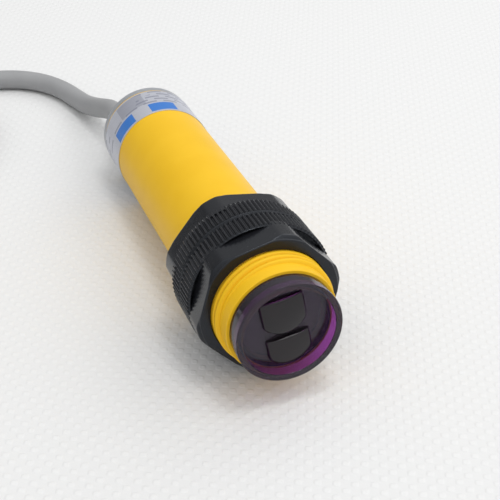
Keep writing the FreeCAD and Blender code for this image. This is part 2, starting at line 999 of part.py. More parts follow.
def core_spots(first):
    """Where the three cores stand in the cable's section, from the angle of the first."""
    angles = [math.radians(first - 120 * n) for n in range(3)]
    ring = float(size.core_ring)
    return [(name, ring * math.cos(a), ring * math.sin(a)) for name, a in zip(CORES, angles)]


def make_inner_cable():
    """The cable's end in the cap, and its cores down to the board."""
    x = size.cable_offset
    low = barrel_end - size.barb_length - size.cable_inner_length / 2
    piece(group([rod(x, 0, (low, outlet_tip), size.cable_radius)]), "cable_inner_end")
    face = float(low)
    rest = float(half_board + size.core_radius + size.fit_gap)
    bends = [face - float(z) for z in (size.core_straight, size.core_landing, size.core_end)]
    for number, (name, dx, dy) in enumerate(core_spots(INNER_CORE_TURN)):
        start = (float(x) + dx, dy)
        pad_spot = (rest, (1 - number) * float(size.pad_spacing))
        points = [(*start, face), (*start, bends[0]), (*pad_spot, bends[1]), (*pad_spot, bends[2])]
        shape_piece(f"inner_wire_{name}", tube(points, size.core_radius, f"inner wire {name}"))


def make_cable(lay):
    """The free cable: a tube to the coil, the coil's outer shape, and a tube on to the cores' end."""
    tip = lay.multVec(Vector(float(size.cable_offset), 0, float(outlet_tip)))
    along = lay.Rotation.multVec(Vector(0, 0, 1))
    straight = tip + along * float(size.exit_straight)
    jacket = [tuple(tip), tuple(straight)] + JACKET_ROUTE
    laid = [
        shape_piece("cable_jacket", tube(jacket, size.cable_radius, "cable jacket")),
        shape_piece("cable_tail", tube(TAIL_ROUTE, size.cable_radius, "cable tail")),
    ]
    outer = size.coil_radius + 2 * size.cable_radius
    inner = size.coil_radius - 2 * size.cable_radius
    ring = cut(
        rod(COIL_CENTRE[0], COIL_CENTRE[1], (sized(0), size.coil_height), outer),
        rod(COIL_CENTRE[0], COIL_CENTRE[1], (sized(-1), size.coil_height + 1), inner),
    )
    laid.append(piece(ring, "cable_coil"))
    return laid


def make_connector():
    """Three-way crimp housing with its contacts, on the ends of the three cores."""
    pitch = float(size.pin_pitch)
    turn = Rotation(Vector(0, 0, 1), PLUG_TURN)
    place = Placement(Vector(PLUG_BACK[0], PLUG_BACK[1], pitch / 2), turn)
    side, half = 1.5 * size.pin_pitch, size.pin_pitch / 2
    case = block((-side, side), (-size.plug_length, sized(0)), (-half, half))
    cavities, contacts = [], []
    wide, narrow = size.cavity_width / 2, size.contact_width / 2
    for n in (-1, 0, 1):
        x = n * size.pin_pitch
        cavities.append(block((x - wide, x + wide), (-size.plug_length - 1, sized(1)), (-wide, wide)))
        outside = block(
            (x - narrow, x + narrow),
            (size.contact_setback - size.plug_length, -size.contact_back),
            (-narrow, narrow),
        )
        hollow = block(
            (x - narrow + size.contact_wall, x + narrow - size.contact_wall),
            (-size.plug_length, -size.contact_back - size.crimp_length),
            (-narrow + size.contact_wall, narrow - size.contact_wall),
        )
        contacts.append(cut(outside, hollow))
    housing = piece(cut(case, fuse(cavities)), "connector_housing")
    metal = piece(group(contacts), "connector_contacts")
    leads = []
    end = Vector(*TAIL_ROUTE[-1])
    along = (end - Vector(*TAIL_ROUTE[-2])).normalize()
    across = Vector(0, 0, 1).cross(along).normalize()
    outward = turn.multVec(Vector(0, 1, 0))
    for number, (name, dx, dz) in enumerate(core_spots(LEAD_TURN)):
        start = end + across * dx + Vector(0, 0, dz)
        leaving = start + along * float(size.lead_leave)
        back = place.multVec(Vector((number - 1) * pitch, -float(size.contact_back), 0))
        mouth = back + outward * float(size.lead_straight)
        points = [tuple(spot) for spot in (start, leaving, mouth, back)]
        leads.append(shape_piece(f"lead_{name}", tube(points, size.core_radius, f"lead {name}")))
    return [housing, metal], place, leads


# ---- how the sensor lies --------------------------------------------------------------------------------


def lying():
    """The placement that lays the sensor's axis down: it rests on the rear nut's flange and on the label."""
    flange_edge = float(seam + size.nut_gap + size.flange_length - size.flange_chamfer)
    rear_edge = float(barrel_end - size.label_end_gap)
    label_radius = barrel_radius + size.label_gap + size.label_thickness
    fall = float(flange_radius - label_radius)
    lean = math.atan2(fall, rear_edge - flange_edge)
    height = float(flange_radius) * math.cos(lean) + flange_edge * math.sin(lean)
    roll = math.radians(float(size.sensor_roll))
    tip_height = float(size.relief_tip_radius) - float(size.cable_offset) * math.sin(roll)
    front = -float(cap_radius - cap_bevel) * math.sin(lean)
    rear = float(outlet_tip) * math.cos(lean) + tip_height * math.sin(lean)
    turn = Rotation(Vector(1, 0, 0), -math.degrees(lean)) * Rotation(Vector(0, 0, 1), 180)
    turn = turn * Rotation(Vector(1, 0, 0), 90)
    return Placement(Vector(0, -(front + rear) / 2, height), turn), math.degrees(lean)


def main():
    lay, lean = lying()
    rolled = lay * Placement(Vector(), Rotation(Vector(0, 0, 1), -float(size.sensor_roll)))
    make_lens_cap()
    make_housing()
    make_label()
    nut = make_nut()
    front_nut = piece(group([nut]), "front_nut")
    rear_nut = piece(group([nut]), "rear_nut")
    make_holder()
    make_optics()
    make_board()
    make_chip()
    make_small_package(
        "voltage_regulator",
        board_start + size.regulator_start,
        size.regulator_length,
        size.regulator_width,
        size.regulator_height,
        sized(0),
        1,
    )
    make_small_package(
        "output_transistor",
        board_start + size.transistor_start,
        size.transistor_length,
        size.transistor_width,
        size.transistor_height,
        sized(0),
        1,
    )
    make_can()
    make_resistors()
    make_ceramics()
    screw_x, screw_y = make_trimmer()
    make_indicator()
    make_rear_cap(screw_x, screw_y)
    make_strain_relief()
    make_inner_cable()
    laid = make_cable(rolled)
    plug, plug_place, leads = make_connector()
    laid += plug + leads
    doc.recompute()

    for obj in PIECES:
        if obj not in laid:
            obj.Placement = rolled
    flip = Rotation(Vector(1, 0, 0), 180)
    front_nut.Placement = lay * Placement(
        Vector(0, 0, float(seam)), flip * Rotation(Vector(0, 0, 1), float(size.front_nut_turn))
    )
    rear_nut.Placement = lay * Placement(
        Vector(0, 0, float(seam + size.nut_gap)), Rotation(Vector(0, 0, 1), float(size.rear_nut_turn))
    )
    for obj in plug:
        obj.Placement = plug_place

    failed = [o.Label for o in doc.Objects if "Invalid" in o.State or "Error" in o.State]
    failed += [o.Label for o in PIECES if o.Shape.isNull() or not o.Shape.isValid()]
    if failed:
        raise RuntimeError(f"failed: {', '.join(failed)}")
    os.makedirs("parts", exist_ok=True)
    for obj in PIECES:
        obj.Shape.exportStep(f"parts/{obj.Label}.step")
    print(f"{len(PIECES)} pieces, lean {lean:.2f} degrees, axis {lay}")


main()
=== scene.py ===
"""Looks of a cylindrical photoelectric sensor with two flanged nuts and its cable.

The sensor's own pieces are drawn in millimetres about its axis: Z runs from the front rim of the lens cap
to the rear end. Each finished mesh is then laid down in the frame, in metres, with its object at the origin.
"""

import logging
from dataclasses import dataclass
from enum import Enum
from functools import cache
from math import atan2, cos, exp, log, pi, radians, sin, sqrt, tan, tau
from typing import Callable, Iterable, Sequence

import bmesh
import bpy
from bmesh.types import BMesh
from bpy.types import ID, Material, Node, NodeSocket, NodeTree, Object
from mathutils import Matrix, Vector


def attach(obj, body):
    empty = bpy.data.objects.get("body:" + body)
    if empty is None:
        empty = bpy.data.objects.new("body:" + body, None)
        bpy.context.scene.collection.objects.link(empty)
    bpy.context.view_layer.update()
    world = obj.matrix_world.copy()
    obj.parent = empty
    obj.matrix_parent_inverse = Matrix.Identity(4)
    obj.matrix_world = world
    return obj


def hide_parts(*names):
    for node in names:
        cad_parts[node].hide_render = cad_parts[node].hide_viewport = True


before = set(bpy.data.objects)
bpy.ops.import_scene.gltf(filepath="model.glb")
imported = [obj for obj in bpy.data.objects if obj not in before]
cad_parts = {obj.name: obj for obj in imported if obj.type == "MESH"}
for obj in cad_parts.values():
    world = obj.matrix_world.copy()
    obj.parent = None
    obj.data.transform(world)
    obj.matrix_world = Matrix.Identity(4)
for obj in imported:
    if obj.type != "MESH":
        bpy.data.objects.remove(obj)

LOG = logging.getLogger("sensor")
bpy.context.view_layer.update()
MM = 0.001
SUNK = 0.06

Triple = tuple[float, float, float]
Colour = Triple
Rings = list[list[Triple]]
Outline = list[tuple[float, float]]


# ---- how the sensor lies ----


@dataclass(frozen=True)
class Lay:
    """Where the sensor's axis lies, in millimetres and degrees.

    The sensor rests on the rear nut's flange and on the label's end, and is rolled about its own axis.
    """

    flange_radius: float = 11.3
    flange_edge: float = 18.95
    label_radius: float = 8.72
    label_edge: float = 69.4
    front: Triple = (0.0, -39.5479, 12.2531)
    roll: float = 9.0

    def matrix(self, rolled: bool = True) -> Matrix:
        """The turn and shift from the sensor's own millimetres to the frame's metres.

        Args:
            rolled: whether the piece shares the housing's roll. The nuts don't.

        Returns:
            The matrix to apply to a mesh that was drawn about the axis.
        """
        lean = atan2(self.flange_radius - self.label_radius, self.label_edge - self.flange_edge)
        turn = Matrix.Rotation(-lean, 4, "X") @ Matrix.Rotation(pi, 4, "Z") @ Matrix.Rotation(pi / 2, 4, "X")
        if rolled:
            turn = turn @ Matrix.Rotation(-radians(self.roll), 4, "Z")
        return Matrix.Scale(MM, 4) @ Matrix.Translation(self.front) @ turn


LAY = Lay()
AXIS_FRAME = LAY.matrix()


# ---- trees of nodes ----


def maths(operation: str, swapped: bool = False) -> Callable[..., "Wire"]:
    """A method for wires that adds one Math node.

    Args:
        operation: the node's operation.
        swapped: whether the wire itself comes last, as in 1 - wire.

    Returns:
        The method.
    """

    def method(self: "Wire", *others: object) -> "Wire":
        """Adds the node to the wire's own tree and gives its result."""
        values = (*others, self) if swapped else (self, *others)
        return self.patch.wire("ShaderNodeMath", dict(enumerate(values)), operation=operation)

    return method


class Wire:
    """A number socket in a tree of nodes that can be added, multiplied and compared like a number."""

    __add__ = __radd__ = maths("ADD")
    __mul__ = __rmul__ = maths("MULTIPLY")
    __sub__, __rsub__ = maths("SUBTRACT"), maths("SUBTRACT", swapped=True)
    __truediv__ = maths("DIVIDE")
    __gt__, __lt__ = maths("GREATER_THAN"), maths("LESS_THAN")
    __abs__ = maths("ABSOLUTE")
    sine, cosine = maths("SINE"), maths("COSINE")
    least, most = maths("MINIMUM"), maths("MAXIMUM")

    def __init__(self, patch: "Patch", socket: NodeSocket) -> None:
        """Keeps the tree and the socket."""
        self.patch = patch
        self.socket = socket

    def wrap(self) -> "Wire":
        """The remainder after whole numbers."""
        return maths("WRAP")(self, 1.0, 0.0)

    def band(self, low: float, high: float) -> "Wire":
        """1 between low and high, else 0."""
        return (self > low) * (self < high)

    def ramp(self, low: float, high: float, start: float = 0.0, end: float = 1.0) -> "Wire":
        """Goes smoothly from start to end while the wire goes from low to high."""
        stops = {0: self, 1: low, 2: high, 3: start, 4: end}
        return self.patch.wire("ShaderNodeMapRange", stops, interpolation_type="SMOOTHSTEP")


class Patch:
    """A tree of nodes under construction."""

    def __init__(self, tree: NodeTree) -> None:
        """Empties the tree and keeps it."""
        self.tree = tree
        self.tree.nodes.clear()

    def node(self, kind: str, sockets: dict[object, object] | None = None, **settings: object) -> Node:
        """Adds one node.

        Args:
            kind: the node's type.
            sockets: values or links for its inputs, by name or number.
            settings: its properties, which are set first.

        Returns:
            The new node.
        """
        made = self.tree.nodes.new(kind)
        for key, value in settings.items():
            setattr(made, key, value)
        for key, value in (sockets or {}).items():
            self.join(value, made.inputs[key])
        return made

    def wire(self, kind: str, sockets: dict[object, object] | None = None, **settings: object) -> Wire:
        """Adds one node and gives its first result as a wire."""
        return Wire(self, self.node(kind, sockets, **settings).outputs[0])

    def join(self, value: object, socket: NodeSocket) -> None:
        """Links a wire, a node or a socket to an input, or sets the input's value.

        Args:
            value: what goes in.
            socket: the input.
        """
        if isinstance(value, Wire):
            value = value.socket
        elif isinstance(value, Node):
            value = value.outputs[0]
        if isinstance(value, NodeSocket):
            self.tree.links.new(value, socket)
        elif isinstance(value, tuple) and len(value) == 3 and socket.type == "RGBA":
            socket.default_value = (*value, 1.0)
        else:
            socket.default_value = value

    def parts(self, vector: object) -> tuple[Wire, Wire, Wire]:
        """The three components of a vector."""
        split = self.node("ShaderNodeSeparateXYZ", {0: vector})
        return tuple(Wire(self, out) for out in split.outputs)


class Shader(Patch):
    """A material under construction: its tree, its main shader and the patterns that feed it."""

    def __init__(self, name: str) -> None:
        """Starts an empty material with a Principled shader.

        Args:
            name: the material's name.
        """
        self.material = bpy.data.materials.new(name)
        self.material.use_nodes = True
        super().__init__(self.material.node_tree)
        self.output = self.node("ShaderNodeOutputMaterial")
        self.main = self.node("ShaderNodeBsdfPrincipled")
        self.join(self.main, self.output.inputs["Surface"])

    def set(self, **values: object) -> None:
        """Sets or links inputs of the main shader, with underscores for the spaces in their names."""
        for key, value in values.items():
            self.join(value, self.main.inputs[key.replace("_", " ")])

    def mapped(self, vector: object, **sockets: object) -> NodeSocket:
        """A vector through a Mapping node, by that node's Location, Rotation and Scale."""
        return self.node("ShaderNodeMapping", {"Vector": vector, **sockets}).outputs[0]

    def coordinates(self) -> NodeSocket:
        """Object coordinates, in the frame's own metres."""
        return self.node("ShaderNodeTexCoord").outputs["Object"]

    def place(self) -> NodeSocket:
        """Turns object coordinates to the sensor's own axis, in millimetres.

        Returns:
            The turned coordinates.
        """
        back = AXIS_FRAME.inverted()
        return self.mapped(
            self.coordinates(),
            Location=tuple(back.to_translation()),
            Rotation=tuple(back.to_euler("XYZ")),
            Scale=(1 / MM,) * 3,
        )

    def noise(self, vector: NodeSocket, scale: float, detail: float = 3.0, rough: float = 0.5) -> Wire:
        """A noise pattern about 0.5, so fine per unit of the vector, with finer layers of some strength."""
        sockets = {"Vector": vector, "Scale": scale, "Detail": detail, "Roughness": rough}
        return self.wire("ShaderNodeTexNoise", sockets)

    def mix(self, share: object, first: object, second: object) -> NodeSocket:
        """A colour that goes from first to second while share goes from 0 to 1."""
        return self.node("ShaderNodeMix", {0: share, 6: first, 7: second}, data_type="RGBA").outputs[2]

    def bump(self, height: Wire, depth: float, strength: float = 1.0) -> NodeSocket:
        """A normal from a height pattern, in which 1 stands for that depth in metres."""
        sockets = {"Height": height, "Distance": depth, "Strength": strength}
        return self.node("ShaderNodeBump", sockets).outputs[0]


# ---- finishes ----


def scaled(colour: Colour, share: float) -> Colour:
    """The colour, darker or lighter by that share."""
    return tuple(part * share for part in colour)


@dataclass(frozen=True)
class Finish:
    """What a surface is made of. Each kind of finish paints its material in its own way."""

    name: str

    def paint(self, shader: Shader) -> None:
        """Feeds the material's main shader."""
        raise NotImplementedError

    @cache
    def build(self) -> Material:
        """Makes the finish's material when it is first asked for.

        Returns:
            The material.
        """
        shader = Shader(self.name)
        self.paint(shader)
        return shader.material


@dataclass(frozen=True)
class Moulded(Finish):
    """Moulded plastic or rubber: a colour that drifts a little, a fine skin and a faint grain."""

    colour: Colour
    drift: Colour
    roughness: float = 0.42
    uneven: float = 0.08
    grain: float = 9.0
    depth: float = 0.01 * MM
    dust: float = 0.0
    dust_colour: Colour = (0.30, 0.30, 0.32)
    gleam: float = 0.5
    gleam_colour: Colour = (1.0, 1.0, 1.0)
    clear: float = 0.0

    def paint(self, shader: Shader) -> None:
        """Lets colour and roughness drift, and strews dust where there is any.

        Args:
            shader: the material under construction.
        """
        spot = shader.place()
        cloud = shader.noise(spot, 0.16, 2.0)
        skin = shader.noise(spot, self.grain, 3.0, 0.6)
        colour = shader.mix(cloud.ramp(0.35, 0.65), self.colour, self.drift)
        rough = self.roughness + (skin - 0.5) * self.uneven + (cloud - 0.5) * self.uneven
        if self.dust > 0:
            speck = shader.noise(spot, 3.1, 4.0, 0.75).ramp(0.66, 0.74) * self.dust
            colour = shader.mix(speck, colour, self.dust_colour)
            rough = rough + speck * 0.3
        shader.set(
            Base_Color=colour, Roughness=rough, Specular_IOR_Level=self.gleam,
            Specular_Tint=self.gleam_colour, Transmission_Weight=self.clear,
            Normal=shader.bump(skin, self.depth),
        )


@dataclass(frozen=True)
class Filter(Finish):
    """Dark purple plastic that passes infrared: clear, with a tint that deepens through its thickness."""

    name: str = "filter_plastic"
    surface: Colour = (0.80, 0.62, 0.82)
    tint: Colour = (0.62, 0.06, 0.66)
    density: float = 1900.0
    roughness: float = 0.08

    def paint(self, shader: Shader) -> None:
        """Makes clear plastic with a volume that soaks up light.

        Args:
            shader: the material under construction.
        """
        wipe = shader.noise(shader.place(), 1.3, 4.0, 0.65)
        shader.set(
            Base_Color=self.surface,
            Roughness=wipe.ramp(0.45, 0.75, self.roughness, self.roughness + 0.12), IOR=1.49,
            Transmission_Weight=0.98, Specular_IOR_Level=0.21, Specular_Tint=(0.90, 0.86, 1.0),
            Normal=shader.bump(wipe, 0.004 * MM),
        )
        soak = shader.node("ShaderNodeVolumeAbsorption", {"Color": self.tint, "Density": self.density})
        shader.join(soak, shader.output.inputs["Volume"])


@dataclass(frozen=True)
class Metal(Finish):
    """Plain metal with fine scratches."""

    colour: Colour
    roughness: float = 0.28

    def paint(self, shader: Shader) -> None:
        """Draws scratches along the axis.

        Args:
            shader: the material under construction.
        """
        scratch = shader.noise(shader.mapped(shader.place(), Scale=(1.0, 1.0, 0.15)), 6.0, 4.0, 0.6)
        shader.set(
            Base_Color=shader.mix(scratch, self.colour, scaled(self.colour, 0.8)), Metallic=1.0,
            Roughness=scratch.ramp(0.3, 0.7, self.roughness, self.roughness + 0.15),
            Normal=shader.bump(scratch, 0.003 * MM),
        )


@dataclass(frozen=True)
class Foil(Finish):
    """Silver label foil with generic printed blocks and rows of strokes."""

    name: str = "label_foil"
    silver: Colour = (0.55, 0.565, 0.63)
    band: Colour = (0.025, 0.17, 0.55)
    ink: Colour = (0.20, 0.21, 0.27)
    rows: float = 8.5
    words: float = 14.0

    def paint(self, shader: Shader) -> None:
        """Prints on the label's own map: u goes round it, v from its front edge to its rear.

        Args:
            shader: the material under construction.
        """
        uv = shader.node("ShaderNodeUVMap", uv_map="wrap").outputs[0]
        round_, along, _ = shader.parts(uv)
        brushed = shader.noise(shader.mapped(uv, Scale=(6.0, 90.0, 1.0)), 3.0)
        blocks = round_.band(0.545, 0.638) + round_.band(0.70, 0.79) + round_.band(0.10, 0.19)
        edge_band = along.band(0.05, 0.40) * blocks
        lines = along * self.rows + 0.35
        within = lines.wrap()
        grey_block = round_.band(0.60, 0.70) * along.band(0.47, 0.96)
        words = (round_ * self.words + (lines - within) * 0.37).wrap().band(0.12, 0.80)
        bars = words * within.band(0.18, 0.68) * along.band(0.44, 0.97) * (shader.noise(uv, 4.2, 0.0) > 0.40)
        colour = shader.mix(brushed.ramp(0.3, 0.7), self.silver, scaled(self.silver, 0.86))
        for share, print_ in ((grey_block * 0.45, self.ink), (bars * 0.8, self.ink), (edge_band, self.band)):
            colour = shader.mix(share, colour, print_)
        shader.set(
            Base_Color=colour, Metallic=(edge_band + bars).ramp(0.0, 1.0, 0.30, 0.0),
            Roughness=brushed.ramp(0.3, 0.7, 0.30, 0.42), Normal=shader.bump(brushed, 0.004 * MM),
        )


TIN = (0.66, 0.65, 0.62)


@dataclass(frozen=True)
class Split(Finish):
    """Two stuffs on one moulded part, told apart by where they are: a body and its metal ends."""

    colour: Colour
    half: float
    axis: int = 1
    centre: float = 0.0
    roughness: float = 0.4

    def paint(self, shader: Shader) -> None:
        """Turns to metal past half the body's length from its centre.

        Args:
            shader: the material under construction.
        """
        spot = shader.place()
        metal = abs(shader.parts(spot)[self.axis] - self.centre) > self.half
        grain = shader.noise(spot, 5.0, 3.0, 0.6)
        body = shader.mix(grain, self.colour, scaled(self.colour, 0.75))
        shader.set(
            Base_Color=shader.mix(metal, body, TIN), Metallic=metal,
            Roughness=grain.ramp(0.3, 0.7, self.roughness - 0.06, self.roughness + 0.08),
            Normal=shader.bump(grain, 0.006 * MM),
        )


@dataclass(frozen=True)
class Board(Finish):
    """Green circuit board with copper tracks under its mask and bare solder pads."""

    name: str = "board_mask"
    mask: Colour = (0.012, 0.13, 0.045)
    track: Colour = (0.03, 0.24, 0.08)
    pad: Colour = (0.62, 0.60, 0.55)

    def paint(self, shader: Shader) -> None:
        """Lays tracks, pads and the weave of the board.

        Args:
            shader: the material under construction.
        """
        _, up, along = shader.parts(shader.place())
        lines = (up * 0.9 + (along * 0.35).wrap().ramp(0.4, 0.6)).wrap().band(0.3, 0.55)
        pads = (up / 2.6 + 0.5).wrap().band(0.36, 0.64) * (along / 5.5).wrap().band(0.42, 0.58)
        weave = (abs((along * 5.0).wrap() - 0.5) + abs((up * 5.0).wrap() - 0.5)) * 0.5
        shader.set(
            Base_Color=shader.mix(pads, shader.mix(lines, self.mask, self.track), self.pad),
            Metallic=pads, Roughness=pads.ramp(0.0, 1.0, 0.32, 0.4),
            Normal=shader.bump(weave + lines * 2.0, 0.012 * MM),
        )


@dataclass(frozen=True)
class Epoxy(Finish):
    """Clear or dyed diode epoxy with faint clouds."""

    colour: Colour
    transmission: float = 0.75
    roughness: float = 0.06

    def paint(self, shader: Shader) -> None:
        """Makes cloudy, see-through epoxy.

        Args:
            shader: the material under construction.
        """
        cloud = shader.noise(shader.place(), 1.2, 2.0)
        shader.set(
            Base_Color=shader.mix(cloud, self.colour, scaled(self.colour, 0.7)),
            Roughness=cloud.ramp(0.3, 0.7, self.roughness, self.roughness + 0.06),
            Transmission_Weight=self.transmission, IOR=1.53, Normal=shader.bump(cloud, 0.01 * MM),
        )


@dataclass(frozen=True)
class Tabletop(Finish):
    """The pale floor: a faint embossed dot pattern, as on wiping paper, with painted shade between the dots.
    """

    name: str = "pale_floor"
    colour: Colour = (0.755, 0.757, 0.755)
    dot: float = 2.5
    turned: float = 0.42

    def paint(self, shader: Shader) -> None:
        """Embosses rows of dots that wander a little, and paints shade where the relief is low.

        Args:
            shader: the material under construction.
        """
        spot = shader.mapped(
            shader.coordinates(), Rotation=(0.0, 0.0, self.turned), Scale=(1 / MM / self.dot,) * 3
        )
        across, along, _ = shader.parts(spot)
        drift = shader.noise(spot, 0.7, 2.0) * 0.9
        dots = ((across * tau + drift).sine() * (along * tau + drift).sine()).ramp(0.0, 0.75)
        fibre = shader.noise(spot, 1.6, 4.0, 0.7)
        shader.set(
            # painted shade: the colour is 2.5% darker between the embossed dots, where the relief is low
            Base_Color=shader.mix(dots, scaled(self.colour, 0.975), self.colour), Roughness=0.85,
            Normal=shader.bump(dots * 0.8 + fibre * 0.3, 0.22 * MM, 0.38),
        )


class Core(Enum):
    """The cable's three cores, by the colour of their insulation."""

    BROWN = (0.115, 0.042, 0.018)
    BLACK = (0.014, 0.014, 0.015)
    BLUE = (0.015, 0.085, 0.42)

    def finish(self) -> Moulded:
        """The insulation's finish."""
        return Moulded(f"core_{self.name.lower()}", self.value, scaled(self.value, 1.15), 0.36, 0.06)


CHARCOAL = Moulded(
    "lens_charcoal", (0.0065, 0.005, 0.007), (0.009, 0.006, 0.008), 0.15, 0.05, 4.0, 0.004 * MM, gleam=0.42
)
YELLOW = Moulded(
    "yellow_housing", (0.825, 0.487, 0.013), (0.845, 0.507, 0.017), 0.40, 0.07, 12.0, 0.006 * MM, gleam=0.16
)
NYLON = Moulded(
    "black_nylon", (0.0090, 0.0095, 0.0118), (0.0118, 0.0124, 0.0148), 0.19, 0.14, 10.0, 0.012 * MM,
    dust=0.30, gleam=0.36, gleam_colour=(0.84, 0.91, 1.0),
)
RUBBER = Moulded("relief_rubber", (0.055, 0.056, 0.060), (0.065, 0.066, 0.07), 0.62, 0.1)
JACKET = Moulded("cable_pvc", (0.295, 0.298, 0.305), (0.315, 0.318, 0.325), 0.46, 0.10, 5.0, 0.02 * MM)
CHIP_BLACK = (0.018, 0.018, 0.020)

NODE_FINISHES: dict[str, Finish] = {
    "optics_holder": Moulded("carrier_black", (0.010, 0.010, 0.011), (0.014, 0.014, 0.015), 0.55),
    "emitter_led": Epoxy("emitter_epoxy", (0.55, 0.62, 0.80)),
    "receiver_diode": Epoxy("receiver_epoxy", (0.02, 0.015, 0.02), 0.2),
    "main_board": Board(),
    "controller_chip": Split("chip_epoxy", CHIP_BLACK, 1.96),
    "voltage_regulator": Split("regulator_epoxy", CHIP_BLACK, 1.26),
    "output_transistor": Split("transistor_epoxy", CHIP_BLACK, 0.66),
    "filter_capacitor": Split("can_sleeve", (0.02, 0.03, 0.10), 3.3, axis=2, centre=53.1, roughness=0.25),
    "ceramic_capacitors": Split("ceramic_body", (0.42, 0.30, 0.17), 9.0),
    "resistors": Split("resistor_body", (0.015, 0.015, 0.018), 9.0),
    "trimmer_body": Moulded("trimmer_blue", (0.01, 0.09, 0.42), (0.012, 0.10, 0.46), 0.34),
    "trimmer_screw": Metal("screw_brass", (0.72, 0.50, 0.20)),
    "indicator_led": Epoxy("indicator_epoxy", (0.60, 0.03, 0.02), 0.5),
    "rear_cap": Moulded(
        "rear_cap_plastic", (0.42, 0.44, 0.475), (0.46, 0.48, 0.515), 0.32, 0.06, clear=0.35
    ),
    "cable_inner_end": JACKET,
    **{f"inner_wire_{core.name.lower()}": core.finish() for core in Core},
    "connector_housing": Moulded("crimp_housing", (0.016, 0.016, 0.017), (0.020, 0.020, 0.021), 0.48),
    "connector_contacts": Metal("contact_tin", TIN),
}


# ---- meshes ----


def soften(corners: Sequence[Triple], closed: bool = False, steps: int = 4) -> Outline:
    """Rounds the corners of an outline, with a spare point on each side so that flat parts stay flat.

    Args:
        corners: radius, height and rounding of each corner.
        closed: whether the outline joins up.
        steps: how many runs each rounding has.

    Returns:
        The outline's points.
    """
    spare, most_of_run = 0.02, 0.45
    points: Outline = []
    count = len(corners)
    for i, (x, y, radius) in enumerate(corners):
        spot = Vector((x, y))
        ends = not closed and i in (0, count - 1)
        if ends or radius <= 0:
            points.append((x, y))
            continue
        before = Vector(corners[i - 1][:2]) - spot
        after = Vector(corners[(i + 1) % count][:2]) - spot
        half = before.angle(after) / 2
        reach = min(radius / tan(half), before.length * most_of_run, after.length * most_of_run)
        radius = reach * tan(half)
        before.normalize()
        after.normalize()
        centre = spot + (before + after).normalized() * (radius / sin(half))
        first, last = spot + before * reach, spot + after * reach
        points.append(tuple(first + before * spare))
        for k in range(steps + 1):
            blend = (first - centre).lerp(last - centre, k / steps).normalized() * radius
            points.append(tuple(centre + blend))
        points.append(tuple(last + after * spare))
    return points


def skin(rings: Rings, closed: bool = False) -> BMesh:
    """Covers a row of rings with faces.

    Args:
        rings: the points of each ring, all with the same count.
        closed: whether the last ring joins the first.

    Returns:
        The mesh, its doubles merged and its faces pointing outwards.
    """
    mesh = bmesh.new()
    rows = [[mesh.verts.new(p) for p in ring] for ring in rings]
    for low, high in zip(rows, rows[1:] + rows[:1] if closed else rows[1:]):
        for i in range(len(low)):
            j = (i + 1) % len(low)
            mesh.faces.new((low[i], low[j], high[j], high[i]))
    bmesh.ops.remove_doubles(mesh, verts=mesh.verts, dist=1e-4)
    bmesh.ops.recalc_face_normals(mesh, faces=mesh.faces)
    return mesh


def round_turn(count: int) -> list[float]:
    """The directions that part a whole turn into so many steps."""
    return [tau * k / count for k in range(count)]


def lathe(outline: Outline, segments: int, closed: bool = False) -> BMesh:
    """Turns an outline, given as radius and height, about the axis in so many steps."""
    return skin([[polar(r, a, z) for a in round_turn(segments)] for r, z in outline], closed)


def eased_least(reaches: Iterable[float], about: float, softness: float) -> float:
    """The least of some reaches about a size, with the corners between them eased."""
    return about - log(sum(exp(-softness * (reach - about)) for reach in reaches)) / softness


def polar(reach: float, angle: float, height: float) -> Triple:
    """The point at that reach from the axis, in that direction."""
    return (reach * cos(angle), reach * sin(angle), height)


def link(name: str, data: ID) -> Object:
    """Puts an object in the scene, at the origin.

    Args:
        name: its name.
        data: its mesh, curve, lamp or camera.

    Returns:
        The object.
    """
    made = bpy.data.objects.new(name, data)
    bpy.context.scene.collection.objects.link(made)
    return made


def assign(piece: Object, nodes: Sequence[str] = (), body: str = "sensor") -> Object:
    """Parents a piece to its body's empty and hides the CAD nodes that it stands for.

    Args:
        piece: the piece.
        nodes: the CAD nodes that it stands for.
        body: the body that it rides on.

    Returns:
        The piece.
    """
    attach(piece, body)
    if nodes:
        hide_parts(*nodes)
    return piece


def settle(
    name: str, parts: Iterable[BMesh], finish: Finish, place: Matrix = AXIS_FRAME, sharp: float = 40.0
) -> Object:
    """Joins meshes into one piece and lays it in the frame.

    Args:
        name: the piece's name.
        parts: the meshes, in millimetres, which are used up.
        finish: what the piece is made of.
        place: the matrix to the frame's metres.
        sharp: edges that turn more than this many degrees stay sharp.

    Returns:
        The piece, with its object at the origin.
    """
    mesh = bpy.data.meshes.new(name)
    whole = bmesh.new()
    for part in parts:
        for face in part.faces:
            face.smooth = True
        part.to_mesh(mesh)
        part.free()
        whole.from_mesh(mesh)
    for edge in whole.edges:
        edge.smooth = not (len(edge.link_faces) == 2 and edge.calc_face_angle(0) > radians(sharp))
    whole.to_mesh(mesh)
    whole.free()
    mesh.materials.append(finish.build())
    mesh.transform(place)
    return link(name, mesh)


# ---- geometry nodes ----


